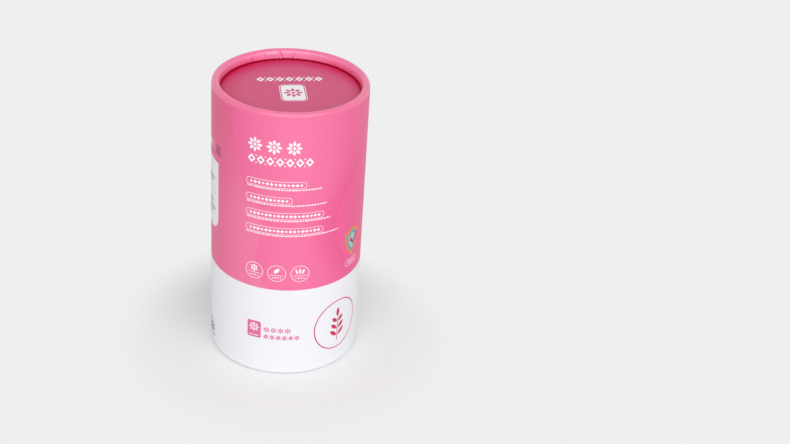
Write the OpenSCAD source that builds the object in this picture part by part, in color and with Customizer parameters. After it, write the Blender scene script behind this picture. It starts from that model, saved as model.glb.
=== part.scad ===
// Round paper can: a tall pull-off lid on a short base, flush with each other outside.
// Both are wound board tubes under printed paper, each closed by a board disc that the
// tube's own end is rolled in over. A third tube, the neck, is glued into the base,
// stands up out of it, and guides the lid on and off.
// The origin is the centre of the foot, +Z runs up the can's axis, -Y is the front.

/* [Body] */
// Outer diameter over the printed wrap
body_d = 84; // [60:1:120]
// Height from the foot to the top of the lid's rim
total_h = 162.3; // [150:0.1:200]
// Height of the base, up to its joint with the lid
base_h = 56.2; // [45:0.1:70]

/* [Board and paper] */
// Wall of the wound board tubes of the lid and the base
board_t = 1.8; // [1.2:0.1:3]
// Thickness of the printed paper, on the walls and on the discs
wrap_t = 0.2; // [0.1:0.05:0.4]
// Thickness of the plain white paper inside
lining_t = 0.15; // [0.1:0.05:0.3]
// Width of the overlap where a wrap's two ends are glued together
lap_w = 8; // [4:0.5:15]
// Direction of that overlap round the can, from +X
lap_azimuth = 102; // [0:1:359]

/* [Rolled rims] */
// Radius of the hollow left at the heart of a roll
roll_core_r = 0.2; // [0.1:0.05:0.8]
// How far the turned-in lip reaches from the heart of its roll to the disc
lip_reach = 3.3; // [0.5:0.1:8]
// Share of the printed paper that is pressed flat under the foot and in the overlap
press_share = 0.5; // [0.2:0.1:0.8]

/* [Discs] */
// Thickness of the board disc in each end
panel_t = 2; // [1:0.1:4]
// Radial play of a disc in its tube
panel_fit = 0.05; // [0.02:0.01:0.08]

/* [Neck] */
// Wall of the neck's board tube
neck_t = 1.5; // [1:0.1:2.5]
// How far the neck stands up out of the base
neck_rise = 40; // [15:1:70]
// Radial play between the neck and the lid, filled with glue inside the base
neck_fit = 0.25; // [0.1:0.05:0.5]
// Bevel round the neck's mouth, which leads the lid on
neck_bevel = 0.5; // [0.2:0.1:0.8]
// How far the glue stays below the top of the base
glue_margin = 3; // [1:0.5:10]

/* [Hidden] */
$fn = 96;

// Every cut runs past what it cuts by this much
overrun = 1;

// Radii, from the printed paper inwards
body_r = body_d / 2;
tube_outer_r = body_r - wrap_t;
tube_inner_r = tube_outer_r - board_t;
lined_r = tube_inner_r - lining_t;
neck_outer_r = lined_r - neck_fit;
neck_board_r = neck_outer_r - lining_t;
neck_board_bore_r = neck_board_r - neck_t;
neck_bore_r = neck_board_bore_r - lining_t;
panel_r = tube_inner_r - panel_fit;

// A roll is a board wall bent round its hollow heart, with the paper on the outside
paper_inner_r = roll_core_r + board_t;
roll_r = paper_inner_r + wrap_t;
roll_x = body_r - roll_r;
press = wrap_t * press_share;

// Heights in the lid, from its rim down
lid_roll_z = total_h - roll_r;
lid_face_z = lid_roll_z - lip_reach;
lid_panel_top_z = lid_face_z - wrap_t;
lid_panel_z = lid_panel_top_z - panel_t;
lid_ceiling_z = lid_panel_z - lining_t;

// Heights in the base, from its foot up
base_roll_z = roll_r - press;
base_face_z = base_roll_z + lip_reach;
base_panel_z = base_face_z + wrap_t;
base_panel_top_z = base_panel_z + panel_t;
floor_z = base_panel_top_z + lining_t;
neck_top_z = base_h + neck_rise;

lap_angle = lap_w / body_r * 180 / PI;

// Half section of one layer, from inner_r to outer_r round a roll's heart at the origin:
// a straight wall of height wall_h, then half a turn inwards, then the straight lip,
// whose cut end stands on the disc and holds it
module rolled_section(inner_r, outer_r, wall_h) {
    difference() {
        circle(r = outer_r);
        circle(r = inner_r);
        translate([-outer_r - overrun, -outer_r - overrun])
            square([2 * (outer_r + overrun), outer_r + overrun]);
    }
    translate([inner_r, -wall_h])
        square([outer_r - inner_r, wall_h]);
    translate([-outer_r, -lip_reach])
        square([outer_r - inner_r, lip_reach]);
}

// The flat that is pressed on the base's roll where the can stands on it
module foot_flat() {
    translate([-roll_r - overrun, roll_r - press])
        square([2 * (roll_r + overrun), press + overrun]);
}

module lid_layer(inner_r, outer_r) {
    rotate_extrude()
        translate([roll_x, lid_roll_z])
            rolled_section(inner_r, outer_r, lid_roll_z - base_h);
}

module base_layer(inner_r, outer_r) {
    rotate_extrude()
        translate([roll_x, base_roll_z])
            mirror([0, 1])
                difference() {
                    rolled_section(inner_r, outer_r, base_h - base_roll_z);
                    foot_flat();
                }
}

// The outer end of a wrap, glued over the inner one up the straight of a wall. It stops
// a roll's radius short of the roll, where both ends are pressed into one.
module lap(low_z, high_z) {
    rotate([0, 0, lap_azimuth])
        rotate_extrude(angle = lap_angle)
            translate([body_r - press, low_z])
                square([press + wrap_t, high_z - low_z]);
}

// A straight tube of paper, board or glue
module sleeve(inner_r, outer_r, low_z, high_z) {
    rotate_extrude()
        translate([inner_r, low_z])
            square([outer_r - inner_r, high_z - low_z]);
}

// One layer of the neck, cut back by the bevel round its mouth
module neck_layer(inner_r, outer_r) {
    rotate_extrude()
        difference() {
            translate([inner_r, floor_z])
                square([outer_r - inner_r, neck_top_z - floor_z]);
            translate([neck_outer_r, neck_top_z])
                polygon([
                    [-neck_bevel - overrun, overrun],
                    [overrun, -neck_bevel - overrun],
                    [overrun, overrun],
                ]);
        }
}

// A flat disc that closes an end
module disc(low_z, thickness) {
    translate([0, 0, low_z])
        cylinder(r = panel_r, h = thickness);
}

// Wound board tube of the lid, its upper end rolled in over the disc
module lid_tube() {
    color("tan")
        lid_layer(roll_core_r, paper_inner_r);
}

// Printed pink paper round the lid, rolled in with the board
module lid_wrap() {
    color("hotpink") {
        lid_layer(paper_inner_r, roll_r);
        lap(base_h, lid_roll_z - roll_r);
    }
}

// White paper inside the lid, from the mouth up to the disc
module lid_lining() {
    color("whitesmoke")
        sleeve(lined_r, tube_inner_r, base_h, lid_ceiling_z);
}

// Board disc that closes the lid
module lid_panel() {
    color("tan")
        disc(lid_panel_z, panel_t);
}

// Printed paper on the disc's outer face, a deeper pink than the wall
module lid_panel_face() {
    color("palevioletred")
        disc(lid_panel_top_z, wrap_t);
}

// White paper on the disc's inner face
module lid_panel_backing() {
    color("whitesmoke")
        disc(lid_ceiling_z, lining_t);
}

// Wound board tube of the base, its lower end rolled in under the disc
module base_tube() {
    color("tan")
        base_layer(roll_core_r, paper_inner_r);
}

// Printed white paper round the base, rolled in with the board
module base_wrap() {
    color("white") {
        base_layer(paper_inner_r, roll_r);
        lap(base_roll_z + roll_r, base_h);
    }
}

// White paper inside the base's tube, hidden behind the neck
module base_lining() {
    color("whitesmoke")
        sleeve(lined_r, tube_inner_r, floor_z, base_h);
}

// Board disc that closes the base
module base_panel() {
    color("tan")
        disc(base_panel_z, panel_t);
}

// White paper on the underside of the base's disc
module base_panel_face() {
    color("white")
        disc(base_face_z, wrap_t);
}

// White paper floor inside the can
module base_floor() {
    color("whitesmoke")
        disc(base_panel_top_z, lining_t);
}

// Wound board tube that stands on the floor and guides the lid
module neck_tube() {
    color("tan")
        neck_layer(neck_board_bore_r, neck_board_r);
}

// White paper round the neck
module neck_wrap() {
    color("white")
        neck_layer(neck_board_r, neck_outer_r);
}

// White paper inside the neck
module neck_lining() {
    color("whitesmoke")
        neck_layer(neck_bore_r, neck_board_bore_r);
}

// Film of glue that holds the neck in the base
module neck_glue() {
    color("ivory")
        sleeve(neck_outer_r, lined_r, floor_z, base_h - glue_margin);
}

lid_tube();
lid_wrap();
lid_lining();
lid_panel();
lid_panel_face();
lid_panel_backing();
base_tube();
base_wrap();
base_lining();
base_panel();
base_panel_face();
base_floor();
neck_tube();
neck_wrap();
neck_lining();
neck_glue();
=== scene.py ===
# Paper can: rolled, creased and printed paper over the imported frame, on a plain pale floor.
import math
import random

import bmesh
import bpy
import numpy as np
from mathutils import Matrix, Vector
from mathutils.geometry import tessellate_polygon


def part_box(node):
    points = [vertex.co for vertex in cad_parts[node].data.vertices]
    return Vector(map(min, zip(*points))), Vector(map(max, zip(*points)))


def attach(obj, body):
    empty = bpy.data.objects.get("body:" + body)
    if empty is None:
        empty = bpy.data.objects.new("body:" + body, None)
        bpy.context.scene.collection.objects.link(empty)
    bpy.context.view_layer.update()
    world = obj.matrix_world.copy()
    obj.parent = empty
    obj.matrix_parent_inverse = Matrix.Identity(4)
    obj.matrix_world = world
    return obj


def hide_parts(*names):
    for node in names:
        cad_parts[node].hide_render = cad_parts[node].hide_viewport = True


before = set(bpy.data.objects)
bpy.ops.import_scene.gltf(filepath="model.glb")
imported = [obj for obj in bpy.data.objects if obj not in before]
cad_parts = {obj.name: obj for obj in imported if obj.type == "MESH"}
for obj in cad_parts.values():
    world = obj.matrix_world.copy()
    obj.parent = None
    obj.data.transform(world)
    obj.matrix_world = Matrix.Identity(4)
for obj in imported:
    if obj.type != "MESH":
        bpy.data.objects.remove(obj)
bpy.context.view_layer.update()

mm = 0.001


def outerR(node):
    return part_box(node)[1].x


def lowZ(node):
    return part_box(node)[0].z


def highZ(node):
    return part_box(node)[1].z


# Sizes that the frame gives
paperR = outerR("lid_wrap")
paperT = paperR - outerR("lid_tube")
boardT = outerR("lid_tube") - outerR("lid_lining")
jointZ = highZ("base_tube")

roll = {
    "core": 0.2 * mm,        # radius of the hollow at the heart of a roll
    "lipCorner": 0.85 * mm,  # rounding of the lip where it stands on its disc
    "cutEdge": 0.06 * mm,    # rounding of the papers' cut edges
    # degrees between rows of the mesh: on the paper, between paper and board, at the heart
    "paperStep": 7.5, "boardStep": 15, "coreStep": 30,
    # rows on the lip: shares of its straight part, and degrees round its corner
    "straightRows": (0.25, 0.5, 0.75, 1), "cornerRows": (30, 60, 90),
    # the lip goes on with the count of degrees round the roll, from 180 to these
    "straightEnd": 250, "cornerEnd": 270,
}
rollR = roll["core"] + boardT + paperT
rollX = paperR - rollR
lipR = rollX - rollR    # inner radius of the rim

# The two rolled tubes: up is the way from the joint to the roll
ends = {
    "lid": {"up": 1, "faceZ": highZ("lid_panel_face"), "wrap": "lid_wrap"},
    "base": {"up": -1, "faceZ": lowZ("base_panel_face"), "wrap": "base_wrap"},
}
ends["lid"]["rollZ"] = highZ("lid_wrap") - rollR
lipReach = ends["lid"]["rollZ"] - ends["lid"]["faceZ"]    # from the heart of a roll to its disc
ends["base"]["rollZ"] = ends["base"]["faceZ"] - lipReach


def smooth(low, high, value):
    share = np.clip((value - low) / (high - low), 0, 1)
    return share * share * (3 - 2 * share)


def nearTurn(degrees):
    # The same angle between -180 and 180
    return (degrees + 180) % 360 - 180


def cosSin(degrees):
    return math.cos(math.radians(degrees)), math.sin(math.radians(degrees))


# Rims: the paper gathers in small folds as it is rolled inwards
rim = {
    "foldHeight": 0.30 * mm,
    "foldWidth": 0.70 * mm,
    "grooveDepth": 0.72 * mm,
    "grooveShare": 0.32,    # width of the groove as a share of its fold
    "growth": 60,           # degrees round the roll over which a crease grows to its full depth
    # azimuth, slant down to the disc, strength, side of the fold, degrees round where it begins
    "seen": [(137.8, -0.6, 0.5, 1, 200), (127, -3, 0.9, 1, 150), (123.4, -0.5, 0.5, -1, 190),
             (113.6, -0.9, 0.35, -1, 70), (101.3, -0.8, 0.4, 1, 75), (99.9, -2.3, 1.0, 1, 115),
             (86.6, 3, 0.8, -1, 140), (44.2, -1.6, 0.5, 1, 175)],
    "others": 12,           # further creases, spread over the rest of the turn
    "clear": 55,            # degrees between them and those above
    "drawn": {"place": (0.2, 0.8), "slant": (-3, 3), "strength": (0.25, 0.85), "begin": (70, 150)},
    "lidSeed": 7, "baseSeed": 19,
    # slow waves: number round the rim, degrees where they start and share of the height
    "waviness": 0.035 * mm, "waves": [(7, 40, 1), (19, 0, 0.6)], "waveGrowth": (30, 110),
    "coarseStep": 1.0,      # degrees between columns of the mesh
    "fineStep": 0.16,       # and beside a crease
    "fineReach": 2.0,
}


def makeCreases(shown, count, seed):
    dice, drawn = random.Random(seed), rim["drawn"]
    creases = list(shown)
    taken = [place for place, *_ in shown]
    low = max(taken) + rim["clear"] if taken else 0
    high = min(taken) + 360 - rim["clear"] if taken else 360
    for n in range(count):
        share = (n + dice.uniform(*drawn["place"])) / count
        creases.append((low + share * (high - low), dice.uniform(*drawn["slant"]),
                        dice.uniform(*drawn["strength"]), dice.choice((-1, 1)),
                        dice.uniform(*drawn["begin"])))
    return creases


ends["lid"]["creases"] = makeCreases(rim["seen"], rim["others"], rim["lidSeed"])
ends["base"]["creases"] = makeCreases([], rim["others"] + len(rim["seen"]), rim["baseSeed"])


def creaseLift(azimuth, turn, creases):
    # How far the skin stands off the smooth roll, for a grid of azimuths and turns in degrees
    lift = 0 * azimuth * turn
    for place, slant, strength, side, begin in creases:
        grown = smooth(begin, begin + rim["growth"], turn)
        run = np.clip((turn - begin) / (roll["cornerEnd"] - begin), 0, 1)
        across = np.radians(nearTurn(azimuth - place - slant * run)) * lipR / rim["foldWidth"]
        fold = np.exp(-(across - side) ** 2)
        groove = np.exp(-(across / rim["grooveShare"]) ** 2)
        depth = rim["foldHeight"] * fold - rim["grooveDepth"] * groove
        lift = lift + strength * grown * depth
    wave = sum(share * np.sin(np.radians(count * azimuth + start))
               for count, start, share in rim["waves"])
    return lift + rim["waviness"] * wave * smooth(*rim["waveGrowth"], turn)


# One stretch of the lid's roll has fine ripples, and one between two creases is puffed out
ripples = {
    "azimuth": 63, "spread": 15, "height": 0.06 * mm, "begin": 105, "growth": 50,
    # number round the rim, slant, even share, share that comes and goes, and number of that
    "waves": [(97, 0.9, 0.6, 0.4, 29), (153, -1.6, 0, 0.8, 13)],
    "reach": 24, "step": 0.32,    # degrees to either side with a finer mesh, and between columns
}
puff = {"from": 101.5, "to": 113.4, "edge": 1, "height": 0.2 * mm, "turn": 195, "width": 25}


def rippleLift(azimuth, turn):
    away = nearTurn(azimuth - ripples["azimuth"]) / ripples["spread"]
    begin = ripples["begin"]
    ripple = 0
    for count, slant, even, varied, slow in ripples["waves"]:
        swell = even + varied * np.sin(np.radians(slow * azimuth))
        ripple = ripple + np.sin(np.radians(count * azimuth + slant * turn)) * swell
    ripple = ripple * ripples["height"] * np.exp(-away ** 2)
    ripple = ripple * smooth(begin, begin + ripples["growth"], turn)
    between = (smooth(puff["from"], puff["from"] + puff["edge"], azimuth)
               * smooth(puff["to"], puff["to"] - puff["edge"], azimuth))
    bulge = np.exp(-((turn - puff["turn"]) / puff["width"]) ** 2)
    return ripple + puff["height"] * between * bulge


# The glued overlap of a wrap: its free edge is a step, and at the other side it climbs over the
# inner end
lap = {
    "climb": 1.0 * mm,    # length of that climb
    "onRoll": 0.45,       # share of its height left once it is rolled
    "pressedAt": 60,      # degrees round the roll where it is down to that
    "edgeStep": 0.06,     # degrees between the top and the foot of the step
}


def lapSpan(node):
    # Azimuths in degrees between which the wrap lies double
    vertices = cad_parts[node].data.vertices
    double = [v.co for v in vertices if v.co.xy.length > paperR + paperT / 2]
    turns = [math.degrees(math.atan2(point.y, point.x)) for point in double]
    return min(turns), max(turns)


for end in ends.values():
    end["lap"] = lapSpan(end["wrap"])


def lapLift(azimuth, turn, span):
    past = (azimuth - span[0]) % 360
    climb = math.degrees(lap["climb"] / paperR)
    width = span[1] - span[0]
    height = paperT * (1 - smooth(width - climb, width + climb, past))
    return height * (1 - (1 - lap["onRoll"]) * smooth(0, lap["pressedAt"], turn))


def columnAzimuths(creases, span):
    # Closer together beside a crease; the first and the last are the two sides of the lap's step
    spots = [place + slant / 2 for place, slant, *_ in creases] + [span[1]]
    turns = [span[0]]
    while turns[-1] < span[0] + 360 - rim["coarseStep"]:
        step = rim["coarseStep"]
        if abs(nearTurn(turns[-1] - ripples["azimuth"])) < ripples["reach"]:
            step = ripples["step"]
        if min(abs(nearTurn(turns[-1] - spot)) for spot in spots) < rim["fineReach"]:
            step = rim["fineStep"]
        turns.append(turns[-1] + step)
    turns.append(span[0] + 360 - lap["edgeStep"])
    return np.array(turns)


def foldShare(radius):
    return 1 if radius > boardT else 0    # the inside of a roll keeps its shape


# Each row below is a point of a section: radius, height, the way it faces (two shares), turn in
# degrees, share of a crease and share of the lap that it follows
def rollRows(end, radius, turns, overlaps):
    rows = []
    for turn in turns:
        cosT, sinT = cosSin(turn)
        z = end["rollZ"] + end["up"] * radius * sinT
        rows.append((rollX + radius * cosT, z, cosT, end["up"] * sinT,
                     turn, foldShare(radius), overlaps))
    return rows


def lipRows(end, radius, corner):
    # On from the roll, down the lip to its rounded lower corner, which ends flat on the disc
    length = abs(end["rollZ"] - end["faceZ"]) - roll["lipCorner"]
    rows = []
    for share in roll["straightRows"]:
        z = end["rollZ"] - end["up"] * length * share
        turn = 180 + (roll["straightEnd"] - 180) * share
        rows.append((rollX - radius, z, -1, 0, turn, foldShare(radius), 0))
    for degrees in roll["cornerRows"]:
        cosT, sinT = cosSin(degrees)
        z = end["faceZ"] + end["up"] * (roll["lipCorner"] - corner * sinT)
        edge = lipR + roll["lipCorner"] - corner * cosT
        turn = roll["straightEnd"] + (roll["cornerEnd"] - roll["straightEnd"]) * degrees / 90
        rows.append((edge, z, -cosT, -end["up"] * sinT, turn, foldShare(radius), 0))
    return rows


def wallRows(end, radius, overlaps, facing):
    # The foot of the straight wall, where the paper is cut
    edge = roll["cutEdge"]
    rows = [(rollX + radius - facing * edge, jointZ, facing, 0, 0, 0, overlaps),
            (rollX + radius, jointZ + end["up"] * edge, facing, 0, 0, 0, overlaps)]
    return rows if facing > 0 else rows[::-1]


plies = {
    "count": 5,             # layers of paper wound into a board
    "groove": 0.05 * mm,    # depth of the line between two of them on a cut edge
    "grooveWidth": 0.09 * mm,
}


def plyRows(fromR, toR, z, up):
    # The cut edge of a wound board, with a fine groove between its layers
    rows = []
    half = math.copysign(plies["grooveWidth"] / 2, toR - fromR)
    for n in range(1, plies["count"]):
        at = fromR + (toR - fromR) * n / plies["count"]
        for radius, depth in ((at - half, 0), (at, plies["groove"]), (at + half, 0)):
            rows.append((radius, z + up * depth, 0, -up, 0, 0, 0))
    return rows


def halfTurn(step, back=False):
    turns = np.linspace(0, 180, int(round(180 / step)) + 1)
    return turns[::-1] if back else turns


def paperRows(end):
    outer, inner = rollR, rollR - paperT
    corner = roll["lipCorner"]
    return (wallRows(end, outer, 1, 1)
            + rollRows(end, outer, halfTurn(roll["paperStep"]), 1)
            + lipRows(end, outer, corner)
            + lipRows(end, inner, corner - paperT)[::-1]
            + rollRows(end, inner, halfTurn(roll["boardStep"], back=True), 0)
            + wallRows(end, inner, 0, -1))


def boardRows(end):
    outer, inner = rollR - paperT, roll["core"]
    mouth = (rollX + outer, jointZ, 1, 0, 0, 0, 0)
    foot = (rollX - inner, end["faceZ"] + end["up"] * paperT, 0, -end["up"], roll["cornerEnd"],
            0, 0)
    bore = (rollX + inner, jointZ, -1, 0, 0, 0, 0)
    return ([mouth]
            + rollRows(end, outer, halfTurn(roll["boardStep"]), 0)
            + lipRows(end, outer, roll["lipCorner"] - paperT)
            + [foot]
            + rollRows(end, inner, halfTurn(roll["coreStep"], back=True), 0)
            + [bore]
            + plyRows(rollX + inner, rollX + outer, jointZ, end["up"]))


def linked(name, data):
    thing = bpy.data.objects.new(name, data)
    bpy.context.scene.collection.objects.link(thing)
    return thing


def addPiece(name, points, faces, sharpAngle=38):
    mesh = bpy.data.meshes.new(name)
    mesh.from_pydata([tuple(p) for p in points], [], [tuple(f) for f in faces])
    mesh.shade_smooth()
    mesh.set_sharp_from_angle(angle=math.radians(sharpAngle))
    return linked(name, mesh)


def turnedPiece(name, radius, height, azimuths):
    # A closed section turned round Z; radius and height are grids of columns by rows
    columns, rows = radius.shape
    angle = np.radians(azimuths)[:, None]
    points = np.stack([radius * np.cos(angle), radius * np.sin(angle), height], axis=2)
    faces = []
    for c in range(columns):
        here, there = c * rows, (c + 1) % columns * rows
        for r in range(rows):
            after = (r + 1) % rows
            faces.append((here + r, there + r, there + after, here + after))
    return addPiece(name, points.reshape(-1, 3), faces)


def rolledPiece(name, end, rows, covered):
    # covered is the thickness of what lies over this layer where it stands on the disc or the table
    radius, height, faceR, faceZ, turn, creased, overlaps = np.array(rows).T[:, None, :]
    azimuth = end["azimuths"][:, None]
    lift = creased * creaseLift(azimuth, turn, end["creases"])
    lift = lift + overlaps * lapLift(azimuth, turn, end["lap"])
    if end["up"] > 0:
        lift = lift + creased * rippleLift(azimuth % 360, turn)
    radius = radius + lift * faceR
    height = height + lift * faceZ
    standing = end["up"] * end["faceZ"] + covered
    height = np.where(turn > 180, end["up"] * np.maximum(end["up"] * height, standing), height)
    if end["up"] < 0:
        height = np.maximum(height, covered)
        radius, height = radius[:, ::-1], height[:, ::-1]
    return turnedPiece(name, radius, height, end["azimuths"])


def dress(piece, body, material, nodes=()):
    piece.data.materials.clear()
    piece.data.materials.append(material)
    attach(piece, body)
    if nodes:
        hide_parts(*nodes)
    return piece


# Node helpers
def put(tree, kind, sockets=None, **settings):
    node = tree.nodes.new(kind)
    for setting, value in settings.items():
        setattr(node, setting, value)
    for socket, value in (sockets or {}).items():
        if isinstance(value, bpy.types.NodeSocket):
            tree.links.new(value, node.inputs[socket])
        else:
            node.inputs[socket].default_value = value
    return node


def maths(tree, operation, *values):
    return put(tree, "ShaderNodeMath", dict(enumerate(values)), operation=operation).outputs[0]


def product(tree, first, *others):
    for other in others:
        first = maths(tree, "MULTIPLY", first, other)
    return first


def apart(tree, first, second):
    return maths(tree, "ABSOLUTE", maths(tree, "SUBTRACT", first, second))


def along(tree, operation, *values):
    return put(tree, "ShaderNodeVectorMath", dict(enumerate(values)), operation=operation).outputs


def ramp(tree, value, fromLow, fromHigh, toLow=0.0, toHigh=1.0, **settings):
    sockets = {"Value": value, "From Min": fromLow, "From Max": fromHigh,
               "To Min": toLow, "To Max": toHigh}
    return put(tree, "ShaderNodeMapRange", sockets, **settings).outputs["Result"]


def linear(tone):
    # A colour as a screen shows it, 0 to 255, in Blender's own values
    shares = [value / 255 for value in tone]
    return [s / 12.92 if s <= 0.04045 else ((s + 0.055) / 1.055) ** 2.4 for s in shares] + [1]


def mixColour(tree, tone, *layers):
    # Lays others over a first colour, each with its share; any of them may be a socket
    for share, over in layers:
        under, over = (t if isinstance(t, bpy.types.NodeSocket) else linear(t)
                       for t in (tone, over))
        sockets = {0: share, 6: under, 7: over}
        tone = put(tree, "ShaderNodeMix", sockets, data_type="RGBA").outputs[2]
    return tone


def objectPlace(tree):
    return put(tree, "ShaderNodeTexCoord").outputs["Object"]


def objectAxes(tree):
    return put(tree, "ShaderNodeSeparateXYZ", {"Vector": objectPlace(tree)}).outputs


def flatRadius(tree, x=0.0, y=0.0):
    # Distance from an upright line through x, y
    away = along(tree, "SUBTRACT", objectPlace(tree), (x, y, 0.0))["Vector"]
    flat = along(tree, "MULTIPLY", away, (1.0, 1.0, 0.0))["Vector"]
    return along(tree, "LENGTH", flat)["Value"]


def newGroup(name, inputs, outputs):
    group = bpy.data.node_groups.new(name, "ShaderNodeTree")
    for socket, value in inputs.items():
        made = group.interface.new_socket(socket, in_out="INPUT", socket_type="NodeSocketFloat")
        made.default_value = value
    for socket in outputs:
        kind = "NodeSocketColor" if socket == "Colour" else "NodeSocketFloat"
        group.interface.new_socket(socket, in_out="OUTPUT", socket_type=kind)
    return group, group.nodes.new("NodeGroupInput"), group.nodes.new("NodeGroupOutput")


def useGroup(tree, group, values=None):
    return put(tree, "ShaderNodeGroup", values, node_tree=group).outputs


# Fine tooth of coated paper, and soft blotches of ink and fibre
grain = {
    "tooth": {"Detail": 3.0, "Roughness": 0.6},
    "blotch": {"Detail": 4.0, "Roughness": 0.65},
    "fibre": {"Detail": 2.0, "Distortion": 0.4},
    "fibreStretch": (1.0, 1.0, 0.14),    # fibres lie up the wall
    "fibreFineness": 1.6,                # as a share of the tooth's
    "fibreShare": 0.3,
    "blotchRange": (0.3, 0.7),
    "glossSpread": 0.03,                 # change of roughness from blotch to blotch
}


def makeGrainGroup():
    sizes = {"Tooth": 0.18 * mm, "Blotch": 0.9 * mm, "Fibre": grain["fibreShare"]}
    group, given, made = newGroup("paper grain", sizes, ["Height", "Mottle"])
    place = objectPlace(group)
    stretch = {"Vector": place, "Scale": grain["fibreStretch"]}
    upright = put(group, "ShaderNodeMapping", stretch).outputs[0]

    def noise(where, fineness, size, layer):
        scale = maths(group, "DIVIDE", fineness, given.outputs[size])
        sockets = {"Vector": where, "Scale": scale, **grain[layer]}
        return put(group, "ShaderNodeTexNoise", sockets).outputs["Fac"]

    tooth = noise(place, 1.0, "Tooth", "tooth")
    blotch = noise(place, 1.0, "Blotch", "blotch")
    fibre = noise(upright, grain["fibreFineness"], "Tooth", "fibre")
    fibre = product(group, fibre, given.outputs["Fibre"])
    group.links.new(maths(group, "ADD", tooth, fibre), made.inputs["Height"])
    group.links.new(ramp(group, blotch, *grain["blotchRange"]), made.inputs["Mottle"])
    return group


def makeWindingGroup():
    # The butt joint of a strip of paper wound into a tube, one line climbing round it
    sizes = {"Pitch": 60 * mm, "Line": 0.25 * mm, "Offset": 0.0}
    group, given, made = newGroup("winding seam", sizes, ["Seam"])
    axes = objectAxes(group)
    turn = maths(group, "DIVIDE", maths(group, "ARCTAN2", axes["Y"], axes["X"]), 2 * math.pi)
    climb = maths(group, "DIVIDE", axes["Z"], given.outputs["Pitch"])
    count = maths(group, "ADD", maths(group, "ADD", climb, turn), given.outputs["Offset"])
    off = apart(group, maths(group, "FRACT", count), 0.5)
    off = product(group, off, given.outputs["Pitch"])
    seam = ramp(group, off, 0.0, given.outputs["Line"], 1.0, 0.0)
    group.links.new(seam, made.inputs["Seam"])
    return group


# Rolling polishes the paper of a rim: the polish starts within fade of the heart of a roll
polish = {"roughness": 0.24, "index": 1.7, "fade": 1.6 * mm}
rimLowZ = ends["lid"]["rollZ"] - polish["fade"] / 2
footHighZ = ends["base"]["rollZ"] + polish["fade"] / 2


def makePolishGroup():
    group, given, made = newGroup("rolled polish", {"Share": 1.0}, ["Weight"])
    z = objectAxes(group)["Z"]
    both = maths(group, "ADD", ramp(group, z, rimLowZ, rimLowZ + polish["fade"]),
                 ramp(group, z, footHighZ, footHighZ - polish["fade"]))
    group.links.new(product(group, both, given.outputs["Share"]), made.inputs["Weight"])
    return group


# The pink wrap: soft waves of slightly different pinks, printed tone on tone, with painted shade
# and painted light on the wall and the lip
pinkWrap = {
    "colour": (241, 120, 164),     # between the two waves, in the middle of the front
    "top": (243, 124, 167),        # the same near the rim
    "tops": (0.4, 0.85),           # shares of the height over which a low tone turns into a top one
    "side": (238, 109, 157),       # painted shade, darker towards the waves at both sides
    "middle": 4, "sideShadeSpan": (8, 45),           # degrees from the front, and from the middle
    "paintedEdgeShade": (235, 94, 148),   # painted shade beside the lower part of the right wave
    "shadeReach": 26, "shadeTop": (0.85, 0.6),  # degrees, and shares of the height
    "leftTop": (232, 108, 149),    # between the left wave and the overlap, near the rim
    "leftLow": (240, 127, 165),    # and near the joint
    "leftFarShade": (224, 92, 130),     # painted shade, mixed in towards the overlap
    "farShadeShare": 0.36, "farShadeSpan": (-36, -56),
    "rightTop": (237, 108, 153),   # right of the right wave
    # and near the joint: the printed tone, darkened by painted shade
    "rightLowShaded": (238, 100, 150),
    "rolled": (243, 106, 153),     # on the roll, a deeper pink than the wall
    "lip": (255, 158, 200),        # painted highlight on the lip inside, at the back
    "lipSideLight": (254, 145, 188),    # painted light on the lip elsewhere
    "back": (140.0, 168.0),        # degrees from the front
    "lipFrom": 0.7,                # where the painted light on the lip starts, as a share of the roll's radius
    "insideShare": 0.25,           # where the painted shade low on the lip reaches its full strength, as another such share
    "lipLowShade": (252, 96, 148),      # painted shade lower down the lip
    "lipShadeSpan": (3.0 * mm, 0.9 * mm), "lipShadeAtBack": 0.2,    # height over the disc; share of that painted shade at the back
    "fold": (162, 0, 14),          # painted shade where it turns under, close to the disc
    "foldShadeSpan": (0.8 * mm, 0.3 * mm),
    "second": (232, 103, 150), "mottle": 0.2, "blotch": 0.8 * mm,
    "roughness": 0.4, "tooth": 0.16 * mm, "relief": 0.004 * mm, "specular": 0.12, "polish": 1.0,
    # edges of the waves: height up the lid as a share of it, and degrees from the front
    "leftWave": [(0.0, -13), (0.09, -21), (0.19, -22.8), (0.31, -19.3), (0.41, -19),
                 (0.49, -21.5), (0.60, -34), (0.70, -38), (0.82, -43), (1.0, -43.5)],
    "rightWave": [(0.0, 60), (0.11, 51), (0.22, 43), (0.32, 38.8), (0.42, 40),
                  (0.52, 49), (0.64, 61), (0.74, 63.6), (0.86, 67), (1.0, 74)],
    "edge": 0.25,   # degrees over which one pink turns into the next
}


def waveEdge(tree, share, points):
    # Degrees from the front, on a smooth curve over the height; the curve itself runs from 0 to 1
    node = put(tree, "ShaderNodeFloatCurve", {"Value": share})
    curve = node.mapping.curves[0]
    spots = [(at, degrees / 360 + 0.5) for at, degrees in points]
    curve.points[0].location = spots[0]
    curve.points[1].location = spots[-1]
    for spot in spots[1:-1]:
        curve.points.new(*spot)
    node.mapping.update()
    return ramp(tree, node.outputs[0], 0.0, 1.0, -180.0, 180.0)


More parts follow.
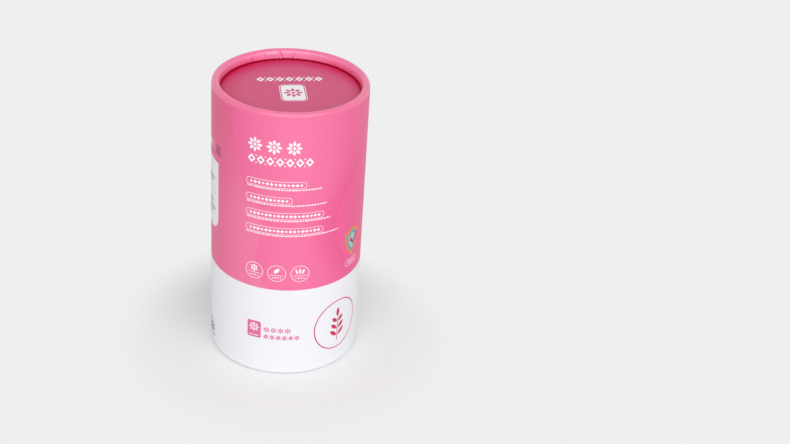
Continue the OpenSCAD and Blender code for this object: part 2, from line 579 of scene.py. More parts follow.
def makePinkGroup():
    look = pinkWrap
    group, given, made = newGroup("pink waves and painted light", {}, ["Colour", "Mottled"])
    axes = objectAxes(group)
    backwards = product(group, axes["Y"], -1.0)
    degrees = product(group, maths(group, "ARCTAN2", axes["X"], backwards), 180 / math.pi)
    share = ramp(group, axes["Z"], jointZ, highZ("lid_wrap"))
    toTop = ramp(group, share, *look["tops"])

    # the waves, counted on from the overlap, where the print starts and ends
    start = ends["lid"]["lap"][0] + 90 - 360
    fromLap = maths(group, "WRAP", degrees, start + 360, start)
    left = maths(group, "SUBTRACT", waveEdge(group, share, look["leftWave"]), fromLap)
    right = maths(group, "SUBTRACT", fromLap, waveEdge(group, share, look["rightWave"]))
    isLeft, isRight = (ramp(group, past, -look["edge"], look["edge"]) for past in (left, right))
    # painted shade beside the right wave, growing towards its lower part
    beside = product(group, ramp(group, right, -look["shadeReach"], 0.0),
                     ramp(group, share, *look["shadeTop"]))
    sideShade = ramp(group, apart(group, degrees, look["middle"]), *look["sideShadeSpan"])
    # painted shade towards the far left, near the overlap
    far = ramp(group, degrees, *look["farShadeSpan"], 0.0, look["farShadeShare"])

    # the roll, and the painted light and shade on the lip
    onRoll = ramp(group, axes["Z"], rimLowZ, rimLowZ + polish["fade"])
    radius = flatRadius(group)
    onLip = ramp(group, radius, rollX - rollR * look["lipFrom"], lipR)
    atBack = ramp(group, maths(group, "ABSOLUTE", degrees), *look["back"])
    inside = ramp(group, radius, rollX, rollX - rollR * look["insideShare"])
    overDisc = maths(group, "SUBTRACT", axes["Z"], ends["lid"]["faceZ"])
    # painted shade lower down the lip, over the disc
    low = product(group, ramp(group, overDisc, *look["lipShadeSpan"]), inside,
                  ramp(group, atBack, 0.0, 1.0, 1.0, look["lipShadeAtBack"]))
    # painted shade in the crevice where the lip turns under, close to the disc
    under = product(group, ramp(group, overDisc, *look["foldShadeSpan"]), inside)

    # painted shade: darker towards the sides, and beside the lower part of the right wave
    middle = mixColour(group, look["colour"], (toTop, look["top"]), (sideShade, look["side"]),
                       (beside, look["paintedEdgeShade"]))
    leftTone = mixColour(group, look["leftLow"], (toTop, look["leftTop"]), (far, look["leftFarShade"]))
    rightTone = mixColour(group, look["rightLowShaded"], (toTop, look["rightTop"]))
    # painted light on the lip, brightest at the back as a painted highlight
    lip = mixColour(group, look["lipSideLight"], (atBack, look["lip"]))
    pink = mixColour(group, middle, (isLeft, leftTone), (isRight, rightTone),
                     (onRoll, look["rolled"]), (onLip, lip), (low, look["lipLowShade"]),
                     (under, look["fold"]))
    group.links.new(pink, made.inputs["Colour"])
    group.links.new(ramp(group, under, 0.0, 1.0, look["mottle"], 0.0), made.inputs["Mottled"])
    return group


grainGroup = makeGrainGroup()
windingGroup = makeWindingGroup()
polishGroup = makePolishGroup()
pinkGroup = makePinkGroup()
print("node groups: %d" % len(bpy.data.node_groups))


def newMaterial(name, look, base=None):
    # Coated paper or ink: look gives its colour, a second one that it is mottled with, gloss and
    # tooth; base is a function that gives a colour that changes, and how much it is mottled
    material = bpy.data.materials.new(name)
    material.use_nodes = True
    tree = material.node_tree
    shader = tree.nodes["Principled BSDF"].inputs
    sizes = {"Tooth": look["tooth"], "Blotch": look["blotch"],
             "Fibre": look.get("fibre", grain["fibreShare"])}
    surface = useGroup(tree, grainGroup, sizes)
    first, mottled = base(tree) if base else (look["colour"], look["mottle"])
    mottle = product(tree, surface["Mottle"], mottled)
    tree.links.new(mixColour(tree, first, (mottle, look["second"])), shader["Base Color"])
    spread = (look["roughness"] - grain["glossSpread"], look["roughness"] + grain["glossSpread"])
    tree.links.new(ramp(tree, surface["Mottle"], 0.0, 1.0, *spread), shader["Roughness"])
    relief = {"Height": surface["Height"], "Distance": look["relief"], "Strength": 1.0}
    tree.links.new(put(tree, "ShaderNodeBump", relief).outputs["Normal"], shader["Normal"])
    shader["Specular IOR Level"].default_value = look.get("specular", 0.5)
    if "polish" in look:
        weight = useGroup(tree, polishGroup, {"Share": look["polish"]})["Weight"]
        tree.links.new(weight, shader["Coat Weight"])
        shader["Coat Roughness"].default_value = polish["roughness"]
        shader["Coat IOR"].default_value = polish["index"]
    return material


def pinkBase(tree):
    pink = useGroup(tree, pinkGroup)
    return pink["Colour"], pink["Mottled"]


deepPink = {
    "colour": (217, 76, 127), "second": (200, 58, 109), "mottle": 0.6, "blotch": 0.6 * mm,
    "edge": (200, 14, 76),         # painted shade, deeper towards the lip
    "middle": (2 * mm, -2 * mm), "rimShadeSpan": (27.5 * mm, 39 * mm),    # from that middle
    "corner": (182, 0, 42),        # painted shade, darker still beside it
    "cornerShadeSpan": (2.3 * mm, 0.4 * mm),
    "roughness": 0.32, "tooth": 0.16 * mm, "relief": 0.006 * mm, "specular": 0.38,
}


def discBase(tree):
    look = deepPink
    # painted shade: the disc darker towards the lip, and darker still beside it
    edge = ramp(tree, flatRadius(tree, *look["middle"]), *look["rimShadeSpan"])
    corner = ramp(tree, flatRadius(tree), *(lipR - gap for gap in look["cornerShadeSpan"]))
    mottled = ramp(tree, corner, 0.0, 1.0, look["mottle"], 0.0)
    return mixColour(tree, look["colour"], (edge, look["edge"]), (corner, look["corner"])), mottled


whiteWrap = {
    "colour": (238, 238, 243), "second": (233, 233, 239), "mottle": 0.35, "blotch": 1.1 * mm,
    "roughness": 0.4, "tooth": 0.16 * mm, "relief": 0.004 * mm, "specular": 0.2, "polish": 0.6,
}

# Uncoated white paper inside, in strips wound round the tube
lining = {
    "colour": (236, 234, 229), "second": (222, 219, 212), "mottle": 0.4, "blotch": 1.6 * mm,
    "roughness": 0.74, "tooth": 0.22 * mm, "fibre": 0.8, "relief": 0.014 * mm,
    "seam": (188, 183, 174), "winding": {"Pitch": 62 * mm, "Line": 0.22 * mm, "Offset": 0.2},
}


def liningBase(tree):
    seam = useGroup(tree, windingGroup, lining["winding"])["Seam"]
    return mixColour(tree, lining["colour"], (seam, lining["seam"])), lining["mottle"]


board = {
    "colour": (176, 158, 134), "second": (142, 124, 100), "mottle": 0.6, "blotch": 0.5 * mm,
    "roughness": 0.86, "tooth": 0.25 * mm, "fibre": 1.0, "relief": 0.03 * mm,
    "seam": (118, 100, 78), "ply": 0.36 * mm, "seamHalf": 0.16, "seamShare": 0.7,
}


def boardBase(tree):
    # The layers show as darker rings on a cut edge
    layer = maths(tree, "FRACT", maths(tree, "DIVIDE", flatRadius(tree), board["ply"]))
    line = ramp(tree, apart(tree, layer, 0.5), 0.0, board["seamHalf"], board["seamShare"], 0.0)
    return mixColour(tree, board["colour"], (line, board["seam"])), board["mottle"]


glue = {
    "colour": (236, 228, 204), "second": (220, 208, 178), "mottle": 0.6, "blotch": 1.5 * mm,
    "roughness": 0.35, "tooth": 0.6 * mm, "relief": 0.03 * mm,
}

papers = {
    "pink wrap": (pinkWrap, pinkBase),
    "deep pink paper": (deepPink, discBase),
    "white wrap": (whiteWrap,),
    "lining": (lining, liningBase),
    "wound board": (board, boardBase),
    "glue": (glue,),
}
materials = {name: newMaterial(name, *parts) for name, parts in papers.items()}

# Inks: slot and colour, mottled with a darker one; all take the tooth of the paper under them
inks = {
    "white ink": ("white_print", (248, 247, 250)),
    "panel white": ("white_print", (238, 239, 243)),
    "rose ink": ("pink_print", (226, 104, 150)),
    "crimson ink": ("crimson_print", (200, 34, 88)),
    "dark ink": ("dark_print", (52, 48, 54)),
    "banner ink": ("pink_print", (238, 114, 160)),
    "purple ink": ("purple_print", (184, 68, 114)),
    "teal ink": ("teal_print", (112, 156, 158)),
    "pale teal ink": ("teal_print", (158, 198, 202)),
    "orange ink": ("orange_print", (238, 140, 48)),
}
inkLook = {"mottle": 0.25, "roughness": 0.45, "tooth": 0.16 * mm, "blotch": 0.6 * mm,
           "relief": 0.005 * mm, "darker": 0.93}
for inkName, (slot, tone) in inks.items():
    second = tuple(value * inkLook["darker"] for value in tone)
    materials[inkName] = newMaterial(inkName, {**inkLook, "colour": tone, "second": second})

# The banner's printed shadow fades into the pink of the wall
bannerShadow = {"top": 126.0 * mm, "low": 123.6 * mm, "strength": 0.85, "ink": "purple ink"}


def shadowBase(tree):
    look, (slot, tone) = bannerShadow, inks[bannerShadow["ink"]]
    share = ramp(tree, objectAxes(tree)["Z"], look["low"], look["top"], 0.0, look["strength"])
    return mixColour(tree, pinkBase(tree)[0], (share, tone)), pinkWrap["mottle"]


materials["banner shadow"] = newMaterial("banner shadow", pinkWrap, shadowBase)
print("materials: %d" % len(materials))

# Lid and base: paper and board, both rolled over their discs
wraps = {"lid": ("pink_paper", "pink wrap"), "base": ("white_paper", "white wrap")}
for name, end in ends.items():
    end["azimuths"] = columnAzimuths(end["creases"], end["lap"])
    slot, finish = wraps[name]
    paper = rolledPiece(name + "_paper", end, paperRows(end), 0)
    dress(paper, name, materials[finish], [end["wrap"]])
    tube = rolledPiece(name + "_board", end, boardRows(end), paperT)
    dress(tube, name, materials["wound board"], [name + "_tube"])
    print("%s: %d columns, %d creases" % (name, len(end["azimuths"]), len(end["creases"])))

# The neck's board, its mouth bevelled to lead the lid on
neck = {
    "boreR": outerR("neck_lining"), "outerR": outerR("neck_tube"),
    "floorZ": lowZ("neck_tube"), "topZ": highZ("neck_tube"),
    "bevel": highZ("neck_tube") - highZ("neck_wrap"), "columns": 240,
}
mouthR = neck["outerR"] - neck["bevel"]
neckRows = [
    (neck["boreR"], neck["floorZ"]),
    (neck["outerR"], neck["floorZ"]),
    (neck["outerR"], neck["topZ"] - neck["bevel"]),
    (mouthR, neck["topZ"]),
    *(row[:2] for row in plyRows(mouthR, neck["boreR"], neck["topZ"], -1)),
    (neck["boreR"], neck["topZ"]),
]
neckAzimuths = np.linspace(0, 360, neck["columns"], endpoint=False)
neckSection = np.array(neckRows)[None, :, :] + np.zeros((neck["columns"], 1, 1))
neckBoard = turnedPiece("neck_board", neckSection[:, :, 0], neckSection[:, :, 1], neckAzimuths)
dress(neckBoard, "base", materials["wound board"], ["neck_tube"])

# Nodes whose shape is right keep it and get their paper, board or glue
finishes = {
    "lining": ["lid_lining", "lid_panel_backing", "base_lining", "base_floor", "neck_wrap",
               "neck_lining"],
    "wound board": ["lid_panel", "base_panel"],
    "deep pink paper": ["lid_panel_face"],
    "white wrap": ["base_panel_face"],
    "glue": ["neck_glue"],
}
for finish, nodes in finishes.items():
    for node in nodes:
        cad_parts[node].material_slots[0].material = materials[finish]
print("nodes with a finish: %d" % sum(len(nodes) for nodes in finishes.values()))


# Print: flat shapes in millimetres, each a list of loops (the outline, then its holes)
def circle(x, y, radius, count=40):
    angles = [2 * math.pi * n / count for n in range(count)]
    return [(x + radius * math.cos(angle), y + radius * math.sin(angle)) for angle in angles]


def ring(x, y, radius, line, count=72):
    return [circle(x, y, radius, count), circle(x, y, radius - line, count)]


def roundBox(left, low, right, high, radii, count=8):
    # radii of the four corners: low left, low right, high right, high left
    if not isinstance(radii, (list, tuple)):
        radii = [radii] * 4
    corners = ((left, low, 1, 1), (right, low, -1, 1), (right, high, -1, -1), (left, high, 1, -1))
    loop = []
    for n, ((x, y, inX, inY), radius) in enumerate(zip(corners, radii)):
        for k in range(count + 1 if radius else 1):
            cosA, sinA = cosSin(180 + 90 * n + 90 * k / count)
            loop.append((x + radius * (inX + cosA), y + radius * (inY + sinA)))
    return loop


def outlineBox(left, low, right, high, radius, line):
    return [roundBox(left, low, right, high, radius),
            roundBox(left + line, low + line, right - line, high - line, radius - line)]


def placed(loop, x, y, degrees):
    cosA, sinA = cosSin(degrees)
    return [(x + a * cosA - b * sinA, y + a * sinA + b * cosA) for a, b in loop]


def moved(shapes, x, y, degrees):
    return [[placed(loop, x, y, degrees) for loop in loops] for loops in shapes]


def loopsOf(shapes):
    # The outlines of some shapes, to cut them out of another one
    return [loops[0] for loops in shapes]


def leaf(x, y, length, width, degrees=0, count=10, fullness=0.8):
    # Pointed at both ends; x, y is the end that it grows from
    shares = [n / count for n in range(count + 1)]
    side = [(length * s, width / 2 * math.sin(math.pi * s) ** fullness) for s in shares]
    return placed([(a, -b) for a, b in side] + side[-2:0:-1], x, y, degrees)


def lozenge(x, y, width, height):
    return [(x - width / 2, y), (x, y - height / 2), (x + width / 2, y), (x, y + height / 2)]


def flower(x, y, radius, petals, heart=0.2, gap=0.1, fullness=0.9625):
    # Petals round an open heart with a dot in it; heart and gap are shares of the radius
    start = radius * (heart + gap)
    petal = [leaf(start, 0, radius - start, fullness * math.pi * radius / petals)]
    shapes = [[circle(x, y, radius * heart, 20)]]
    for n in range(petals):
        shapes += moved([petal], x, y, 90 + 360 * n / petals)
    return shapes


def stroke(points, line):
    # A band of even width along a few points
    sides = [[], []]
    for n, (x, y) in enumerate(points):
        ahead, behind = points[min(n + 1, len(points) - 1)], points[max(n - 1, 0)]
        step = Vector((ahead[0] - behind[0], ahead[1] - behind[1])).normalized() * line / 2
        sides[0].append((x + step.y, y - step.x))
        sides[1].append((x - step.y, y + step.x))
    return sides[0] + sides[1][::-1]


def dashes(left, right, low, high, widths, gaps, dice, corner=0.12, least=0.15):
    # A run of short bars of drawn widths
    shapes, x = [], left
    while x < right:
        width = min(dice.uniform(*widths), right - x)
        if width > least:
            radius = min(corner, (high - low) / 3, width / 3)
            shapes.append([roundBox(x, low, x + width, high, radius)])
        x += width + dice.uniform(*gaps)
    return shapes


twig = {
    "clear": 0.9,               # between stem and leaf, as a share of the stem's width
    "first": 0.22, "run": 0.62,     # first pair and distance to the last, as shares of the stem
    "smaller": 0.12,            # share that each pair loses
    "slant": 48,
}


def sprig(x, y, length, pairs, leafLength, leafWidth, line):
    # An upright stem with pairs of leaves that stand clear of it
    gap = line * twig["clear"]
    shapes = [[stroke([(0, 0), (length, 0)], line)]]
    for n in range(pairs):
        at = length * (twig["first"] + twig["run"] * n / max(pairs - 1, 1))
        size = leafLength * (1 - twig["smaller"] * n)
        shapes += [[leaf(at, side * gap, size, leafWidth, side * twig["slant"])]
                   for side in (-1, 1)]
    shapes.append([leaf(length + gap, 0, leafLength, leafWidth)])
    return moved(shapes, x, y, 90)


dotSides = 14


def beads(left, right, middle, size, pitch, dot=0.33):
    # A row of small lozenges, with a dot for every third one
    count = max(1, round((right - left) / pitch))
    shapes = []
    for n in range(count):
        x = left + (right - left) * (n + 0.5) / count
        shapes.append([lozenge(x, middle, size, size) if n % 3
                       else circle(x, middle, size * dot, dotSides)])
    return shapes


# A border of open lozenges with two dots between each pair; shares of the pitch or the height
border = {"width": 0.86, "height": 0.94, "dotZ": 0.38, "dotR": 0.075}


def garland(left, right, low, high, count, hole=0.42):
    pitch, middle, tall = (right - left) / count, (low + high) / 2, high - low
    shapes = []
    for n in range(count):
        x = left + pitch * (n + 0.5)
        shapes.append([lozenge(x, middle, pitch * border["width"], tall * border["height"]),
                       lozenge(x, middle, pitch * hole, tall * hole)])
        if n:
            shapes += [[circle(x - pitch / 2, middle + side * tall * border["dotZ"],
                               tall * border["dotR"], dotSides)] for side in (-1, 1)]
    return shapes


ink = {
    "under": -0.02 * mm,    # the print's film reaches a little into the paper
    "film": 0.03 * mm,      # height of one film of ink; one on top of another is twice as high
    "bend": 1.4,            # millimetres between the folds of the mesh round the wall
}


def printMesh(shapes, place, bent, films):
    # Cuts the flat shapes into strips, gives them a thickness and lays them on the paper
    flat = bmesh.new()
    for loops in shapes:
        corners = [flat.verts.new((x, y, 0)) for loop in loops for x, y in loop]
        vectors = [[Vector((x, y, 0)) for x, y in loop] for loop in loops]
        for triangle in tessellate_polygon(vectors):
            face = flat.faces.new([corners[n] for n in triangle])
            face.normal_update()
            if face.normal.z < 0:
                face.normal_flip()
    if bent:
        low, high = (pick(vert.co.x for vert in flat.verts) for pick in (min, max))
        for n in range(math.ceil(low / ink["bend"]), math.ceil(high / ink["bend"])):
            everything = flat.verts[:] + flat.edges[:] + flat.faces[:]
            bmesh.ops.bisect_plane(flat, geom=everything, plane_co=(n * ink["bend"], 0, 0),
                                   plane_no=(1, 0, 0))
    flat.verts.index_update()
    count = len(flat.verts)
    spots = [(vert.co.x, vert.co.y) for vert in flat.verts]
    tops = [[vert.index for vert in face.verts] for face in flat.faces]
    rims = [edge.link_loops[0] for edge in flat.edges if len(edge.link_loops) == 1]
    walls = [(loop.vert.index, loop.link_loop_next.vert.index) for loop in rims]
    flat.free()
    points = [place(x, y, height) for height in (ink["under"], ink["film"] * films)
              for x, y in spots]
    faces = [[n + count for n in face] for face in tops] + [face[::-1] for face in tops]
    faces += [(a, b, b + count, a + count) for a, b in walls]
    return points, faces


def onWall(x, y, height):
    angle = x * mm / paperR
    return (paperR + height) * math.sin(angle), -(paperR + height) * math.cos(angle), y * mm


def onDisc(x, y, height):
    return x * mm, y * mm, ends["lid"]["faceZ"] + height


def printed(name, inkName, shapes, place=onWall, films=1, finish=None):
    # The name starts with the body; finish is a material other than the ink's own
    points, faces = printMesh(shapes, place, place is onWall, films)
    body, (slot, tone) = name.split("_")[0], inks[inkName]
    dress(addPiece(name, points, faces), body, materials[finish or inkName])


# Print on the front of the lid: ornaments, framed lines and three round marks
front = {
    "flowers": [(-18.0, 143.0), (-7.6, 143.0), (2.8, 143.0)], "flower": (4.2, 8),
    "garland": (-22.4, 13.6, 131.8, 137.4, 7),
    # right end and top of each frame, and right end of the line under it
    "frames": [(10.1, 123.3, 18.5), (2.6, 113.9, 21.4), (20.2, 104.6, 24.4), (20.2, 95.4, 29.9)],
    "left": -22.9, "frameHeight": 4.1, "frameLine": 0.25,
    "clearLeft": 2.0, "clearRight": 1.8, "bead": (2.0, 2.2),    # bead: size and pitch
    "lineDrop": 4.9, "lineHeight": 0.8, "lineIndent": 0.5, "dash": (0.3, 1.3), "gap": (0.3, 0.5),
    # round marks, each with a bar, beads under it and a flower or leaves over it
    "marks": [-17.3, -4.75, 7.9], "markZ": 66.8, "mark": (5.1, 0.28),
    "barHalf": 3.9, "bar": (-1.35, -1.1), "barCorner": 0.05,
    "beadHalf": 2.9, "beadZ": -2.8, "markBead": (1.1, 1.3),
    "markFlowerZ": 1.6, "markFlower": (2.2, 6),
    # number of the mark, place from its middle, length, width and direction
    "leaves": [(1, -1.5, 0.1, 4.2, 2.1, 45), (2, -1.2, -0.3, 3.5, 1.1, 109.2),
               (2, 0, -0.3, 3.9, 1.1, 90), (2, 1.2, -0.3, 3.5, 1.1, 70.8)],
    "seed": 3,
}


def frontShapes(look):
    dice = random.Random(look["seed"])
    shapes = []
    for x, y in look["flowers"]:
        shapes += flower(x, y, *look["flower"])
    shapes += garland(*look["garland"])
    left, half, thick = look["left"], look["frameHeight"] / 2, look["lineHeight"] / 2
    for right, top, lineEnd in look["frames"]:
        shapes.append(outlineBox(left, top - 2 * half, right, top, half, look["frameLine"]))
        shapes += beads(left + look["clearLeft"], right - look["clearRight"], top - half,
                        *look["bead"])
        z = top - look["lineDrop"]
        shapes += dashes(left + look["lineIndent"], lineEnd, z - thick, z + thick,
                         look["dash"], look["gap"], dice)
    markZ = look["markZ"]
    barLow, barHigh = look["bar"]
    for x in look["marks"]:
        shapes.append(ring(x, markZ, *look["mark"]))
        shapes.append([roundBox(x - look["barHalf"], markZ + barLow, x + look["barHalf"],
                                markZ + barHigh, look["barCorner"])])
        shapes += beads(x - look["beadHalf"], x + look["beadHalf"], markZ + look["beadZ"],
                        *look["markBead"])
    shapes += flower(look["marks"][0], markZ + look["markFlowerZ"], *look["markFlower"])
    for n, x, z, *size in look["leaves"]:
        shapes.append([leaf(look["marks"][n] + x, markZ + z, *size)])
    return shapes


printed("lid_print_front", "white ink", frontShapes(front))

# A shield with a tick, and a small frame under it
shield = {
    "x": 42.6, "top": 86.3, "foot": 68.2, "halfWidth": 6.7,
    "line": 1.2, "field": 1.35, "heart": 2.9,       # insets of the loops one inside the other
    "topInset": 1.1, "footInset": 1.5,              # how much more those count there
    "shoulder": 0.15, "point": 2.2, "brow": 1.6,    # share of the height, and how the sides curve
    "sideSteps": 9, "browSteps": 4,
    "tick": [(-2.2, 79.4), (1.3, 75.8), (4.9, 81.0)], "tickLine": 2.2,
    "frame": (37.1, 62.2, 48.5, 66.3), "frameLine": 0.25, "clear": 1.9, "bead": (1.5, 1.75),
}


def shieldLoop(look, inset):
    # Sides that run down to a point, and a low peak on top
    x, wide = look["x"], look["halfWidth"] - inset
    top, foot = look["top"] - inset * look["topInset"], look["foot"] + inset * look["footInset"]
    shoulder = top - (look["top"] - look["foot"]) * look["shoulder"]
    down = [n / look["sideSteps"] for n in range(look["sideSteps"] + 1)]
    across = [n / look["browSteps"] for n in range(1, look["browSteps"])]
    side = [(wide * (1 - s ** look["point"]), shoulder + (foot - shoulder) * s) for s in down]
    brow = [(wide * (1 - s), shoulder + (top - shoulder) * s ** look["brow"]) for s in across]
    left = [(x - a, z) for a, z in side[:0:-1] + side[:1] + brow]
    right = [(x + a, z) for a, z in brow[::-1] + side[:-1]]
    return left[1:] + [(x, top)] + right + [(x, foot)]


def shieldFrame(look):
    left, low, right, high = look["frame"]
    frameShape = outlineBox(*look["frame"], (high - low) / 2, look["frameLine"])
    row = beads(left + look["clear"], right - look["clear"], (low + high) / 2, *look["bead"])
    return [frameShape] + row


printed("lid_shield_edge", "orange ink",
        [[shieldLoop(shield, 0), shieldLoop(shield, shield["line"])]])
printed("lid_shield_field", "teal ink", [[shieldLoop(shield, shield["field"])]])
printed("lid_shield_heart", "pale teal ink", [[shieldLoop(shield, shield["heart"])]], films=1.6)
tick = [(shield["x"] + x, z) for x, z in shield["tick"]]
printed("lid_shield_tick", "crimson ink", [[stroke(tick, shield["tickLine"])]], films=2.4)
printed("lid_shield_frame", "white ink", shieldFrame(shield))

# Left side of the lid: a white panel with two marks and lines beside them
panel = {
    "box": (-108.2, 79.0, -45.4, 120.9), "corners": [0, 8.3, 0, 8.3],
    # height, thickness and right end of each line
    "lines": [(113.5, 1.5, -65.1), (109.1, 1.2, -50.6), (105.6, 1.2, -55.9),
              (94.2, 1.5, -54.1), (90.2, 1.2, -50.6), (86.5, 1.2, -55.9)],
    "left": -91.5, "dash": (0.7, 2.0), "gap": (0.35, 0.6), "seed": 11,
    "markX": -98.6, "marks": [109.7, 90.3], "mark": (4.6, 0.45),
    "sprigDrop": 3.2, "sprig": (3.2, 2, 2.5, 1.2, 0.35),
    "divider": 100.8, "dividerPitch": 1.6, "dividerRun": (-65, -30),    # run: in pitches
    "dividerDash": (0.9, 0.22, 0.1),    # length, half its height, corner
}


def panelLines(look):
    dice = random.Random(look["seed"])
    shapes = []
    for z, thick, stop in look["lines"]:
        shapes += dashes(look["left"], stop, z - thick / 2, z + thick / 2,
                         look["dash"], look["gap"], dice)
    return shapes + [ring(look["markX"], z, *look["mark"]) for z in look["marks"]]


def panelMarks(look):
    return [shape for z in look["marks"]
            for shape in sprig(look["markX"], z - look["sprigDrop"], *look["sprig"])]


def panelDivider(look):
    z, (length, half, corner) = look["divider"], look["dividerDash"]
    starts = [n * look["dividerPitch"] for n in range(*look["dividerRun"])]
    return [[roundBox(x, z - half, x + length, z + half, corner)] for x in starts]


printed("lid_panel_print", "panel white", [[roundBox(*panel["box"], panel["corners"])]])
printed("lid_panel_lines", "dark ink", panelLines(panel), films=2)
printed("lid_panel_marks", "orange ink", panelMarks(panel), films=2)
printed("lid_panel_divider", "rose ink", panelDivider(panel), films=2)

# A banner over the panel, its ends folded back, with its shadow under it
banner = {
    "box": (-104.7, 126.0, -49.3, 131.8), "corner": 0.2,
    "rightFold": 6.4, "leftFold": 3.2, "leftFoldTop": 0.6, "foldDrop": 0.2, "foldGap": 0.05,
    "foldCorner": 0.1,
    "sagSteps": 24, "sagPower": 0.6,
    "marks": 10, "firstMark": 8, "markPitch": 4.4,
    "flower": (1.8, 6), "lozenge": (2.9, 3.6), "lozengeHole": (1.1, 1.4),
}


def bannerFolds(look):
    left, low, right, high = look["box"]
    low, leftTop = low - look["foldDrop"], high - look["leftFoldTop"]
    gap, corner = look["foldGap"], look["foldCorner"]
    return [[roundBox(right + gap, low, right + look["rightFold"], high, corner)],
            [roundBox(left - look["leftFold"], low, left - gap, leftTop, corner)]]


def bannerSag(look):
    left, low, right, high = look["box"]
    drop = (bannerShadow["top"] - bannerShadow["low"]) / mm
    shares = [n / look["sagSteps"] for n in range(look["sagSteps"] + 1)]
    return [[[(left + (right - left) * s,
               low - look["foldGap"] - drop * math.sin(math.pi * s) ** look["sagPower"])
              for s in shares]]]


def bannerOrnaments(look):
    left, low, right, high = look["box"]
    middle = (low + high) / 2
    shapes = []
    for n in range(look["marks"]):
        x = left + look["firstMark"] + n * look["markPitch"]
        shapes += flower(x, middle, *look["flower"]) if n % 2 else [
            [lozenge(x, middle, *look["lozenge"]), lozenge(x, middle, *look["lozengeHole"])]]
    return shapes


printed("lid_banner", "banner ink", [[roundBox(*banner["box"], banner["corner"])]])
printed("lid_banner_folds", "purple ink", bannerFolds(banner))
printed("lid_banner_shadow", bannerShadow["ink"], bannerSag(banner), finish="banner shadow")
printed("lid_banner_marks", "white ink", bannerOrnaments(banner), films=2)

# Print on the base: a tile with two borders beside it, a ring with a sprig, bars and two marks
foot = {
    "tile": (-20.8, 23.2, -12.8, 34.0), "tileCorner": 1.0,
    "tileFlowerZ": 1.4, "tileFlower": (3.1, 8),
    "tileBarInset": 1.2, "tileBar": (1.2, 1.7), "tileBarCorner": 0.1,
    "upperRow": (-11.4, 4.0, 27.7, 31.3), "upperCount": 4, "petals": 6, "heart": 0.16,
    "lowerRow": (-11.6, 9.2, 23.0, 26.5, 6, 0.3),
    "middle": (33.1, 27.2), "ring": (16.0, 0.65), "sprigDrop": 11, "sprig": (15, 3, 6.4, 2.4, 0.55),
    "bars": (-104.7, 9.0, -75.8, 32.7), "barWidths": (0.33, 0.66, 0.99, 1.32), "barClear": 1.4,
    "barSeed": 29,
    "marks": [(-71.7, 5.8, -62.5, 15.6), (-60.0, 5.8, -50.7, 15.6)], "mark": (1.6, 0.4),
    "markSprigZ": 1.5, "markSprig": (3.6, 2, 3.0, 1.5, 0.4), "markFlower": (3.2, 6),
}


def tileShapes(look):
    left, low, right, high = look["tile"]
    barLow, barHigh = look["tileBar"]
    bar = roundBox(left + look["tileBarInset"], low + barLow, right - look["tileBarInset"],
                   low + barHigh, look["tileBarCorner"])
    petals = flower((left + right) / 2, (low + high) / 2 + look["tileFlowerZ"],
                    *look["tileFlower"])
    shapes = [[roundBox(*look["tile"], look["tileCorner"])] + loopsOf(petals) + [bar]]
    left, right, low, high = look["upperRow"]
    radius, last = (high - low) / 2, look["upperCount"] - 1
    for n in range(look["upperCount"]):
        x = left + radius + (right - left - 2 * radius) * n / last
        shapes += flower(x, (low + high) / 2, radius, look["petals"], heart=look["heart"])
    return shapes + garland(*look["lowerRow"])


def ringShapes(look):
    x, y = look["middle"]
    return [ring(x, y, *look["ring"])] + sprig(x, y - look["sprigDrop"], *look["sprig"])


def barShapes(look):
    dice = random.Random(look["barSeed"])
    left, low, right, high = look["bars"]
    shapes, x = [], left
    while x < right - look["barClear"]:
        width = dice.choice(look["barWidths"])
        shapes.append([roundBox(x, low, x + width, high, 0)])
        x += width + dice.choice(look["barWidths"])
    shapes += [outlineBox(*box, *look["mark"]) for box in look["marks"]]
    first, second = (((left + right) / 2, (low + high) / 2, low)
                     for left, low, right, high in look["marks"])
    shapes += sprig(first[0], first[2] + look["markSprigZ"], *look["markSprig"])
    return shapes + flower(*second[:2], *look["markFlower"])


printed("base_print_rows", "rose ink", tileShapes(foot))
printed("base_print_ring", "crimson ink", ringShapes(foot))
printed("base_print_bars", "dark ink", barShapes(foot))

# On the lid's disc, to be read from behind: a medallion and a border under it
disc = {
    "medallion": (1.3, -4.9), "half": (7.0, 9.9), "outline": (3.0, 0.35),
    "inset": 0.9, "corner": 2.2, "flower": (5.3, 8),
    "row": (-0.9, 11.8), "rowWidth": 36.5, "rowHeight": 5.8, "rowCount": 7, "rowHole": 0.36,
    "turn": 186,
}


def discShapes(look):
    wide, tall = look["half"]
    inset = look["inset"]
    body = [roundBox(inset - wide, inset - tall, wide - inset, tall - inset, look["corner"])]
    body += loopsOf(flower(0, 0, *look["flower"]))
    edge = outlineBox(-wide, -tall, wide, tall, *look["outline"])
    halfWide, halfTall = look["rowWidth"] / 2, look["rowHeight"] / 2
    row = garland(-halfWide, halfWide, -halfTall, halfTall, look["rowCount"], look["rowHole"])
    return (moved([body, edge], *look["medallion"], look["turn"])
            + moved(row, *look["row"], look["turn"]))


printed("lid_print_disc", "white ink", discShapes(disc), place=onDisc)
print("print done: %d meshes in all" % len(bpy.data.meshes))

# Floor and backdrop: one tone all over, with the can's shadow close to its foot
floor = {
    "size": 8.0, "z": -0.02 * mm, "tone": (239, 239, 239),
    "colour": (242, 242, 242), "second": (241, 241, 241), "mottle": 0.5, "blotch": 30 * mm,
    "roughness": 0.9, "tooth": 0.4 * mm, "relief": 0.005 * mm, "specular": 0.0,
    "shadow": (60 * mm, 105 * mm),    # from the middle of the can: where it is full and gone
}


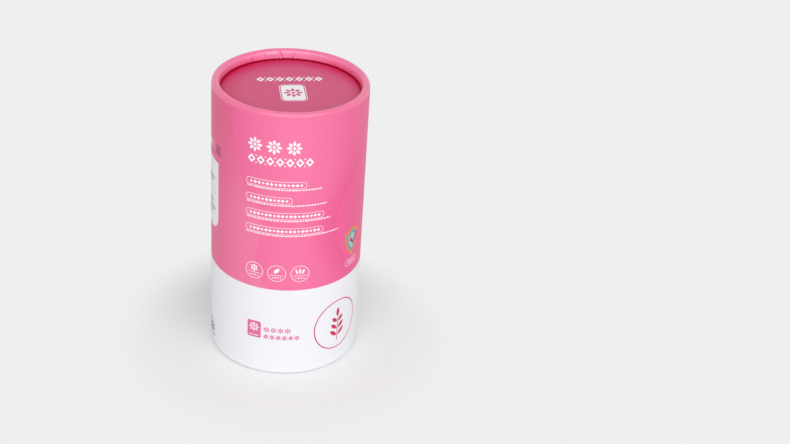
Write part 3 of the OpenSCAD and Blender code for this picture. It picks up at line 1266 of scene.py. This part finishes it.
def floorMaterial(look):
    material = newMaterial("floor paper", look)
    tree = material.node_tree
    far = along(tree, "LENGTH", objectPlace(tree))["Value"]
    clear = ramp(tree, far, *look["shadow"], interpolation_type="SMOOTHSTEP")
    plain = product(tree, clear, put(tree, "ShaderNodeLightPath").outputs["Is Camera Ray"])
    even = put(tree, "ShaderNodeEmission", {"Color": linear(look["tone"]), "Strength": 1.0})
    paper = tree.nodes["Principled BSDF"]
    mixed = put(tree, "ShaderNodeMixShader", {0: plain, 1: paper.outputs[0], 2: even.outputs[0]})
    tree.links.new(mixed.outputs[0], tree.nodes["Material Output"].inputs["Surface"])
    return material


half = floor["size"] / 2
floorCorners = [(x, y, floor["z"]) for x, y in roundBox(-half, -half, half, half, 0)]
floorPiece = addPiece("floor", floorCorners, [(0, 1, 2, 3)])
floorPiece.data.materials.append(floorMaterial(floor))

# Soft studio light: an even surround and one broad lamp in front
studio = {
    "surround": 0.56, "backdrop": (239, 239, 239),
    "lampStrength": 1.7,
    "lampAngle": 80, "lampAzimuth": 9, "lampElevation": 38,    # degrees; azimuth from the front
}
world = bpy.data.worlds.new("studio")
bpy.context.scene.world = world
world.use_nodes = True
tree = world.node_tree
tree.nodes.clear()
rays = put(tree, "ShaderNodeLightPath").outputs
seen = maths(tree, "MAXIMUM", maths(tree, "MAXIMUM", rays["Is Camera Ray"], rays["Is Glossy Ray"]),
             rays["Is Transmission Ray"])
lit = put(tree, "ShaderNodeBackground", {"Color": (1, 1, 1, 1), "Strength": studio["surround"]})
shown = put(tree, "ShaderNodeBackground", {"Color": linear(studio["backdrop"]), "Strength": 1.0})
either = put(tree, "ShaderNodeMixShader", {0: seen, 1: lit.outputs[0], 2: shown.outputs[0]})
put(tree, "ShaderNodeOutputWorld", {"Surface": either.outputs[0]})

lampData = bpy.data.lights.new("broad lamp", "SUN")
lampData.energy = studio["lampStrength"]
lampData.angle = math.radians(studio["lampAngle"])
lamp = linked("broad_lamp", lampData)
(cosA, sinA), (cosE, sinE) = cosSin(studio["lampAzimuth"]), cosSin(studio["lampElevation"])
lamp.rotation_mode = "QUATERNION"
lamp.rotation_quaternion = Vector((sinA * cosE, -cosA * cosE, sinE)).to_track_quat("Z", "Y")

# Camera at the photograph's viewing angle
view = {
    "place": (0, -0.697633, 0.488572),    # metres
    "turn": 4.956, "down": 30.47, "roll": 4.235,    # degrees
    "lens": 65.916, "sensor": 36,
}
(cosT, sinT), (cosD, sinD), (cosR, sinR) = (cosSin(view[name]) for name in ("turn", "down", "roll"))
forward = Vector((sinT * cosD, cosT * cosD, -sinD))
level = Vector((cosT, -sinT, 0))
upright = level.cross(forward)
right = level * cosR + upright * sinR
above = upright * cosR - level * sinR
facing = Matrix((right, above, -forward)).transposed().to_4x4()
cameraData = bpy.data.cameras.new("camera")
cameraData.lens, cameraData.sensor_width = view["lens"], view["sensor"]
camera = linked("camera", cameraData)
camera.matrix_world = Matrix.Translation(view["place"]) @ facing
bpy.context.scene.camera = camera
bpy.context.scene.view_settings.view_transform = "Standard"
print("studio and camera ready")

bpy.context.view_layer.update()
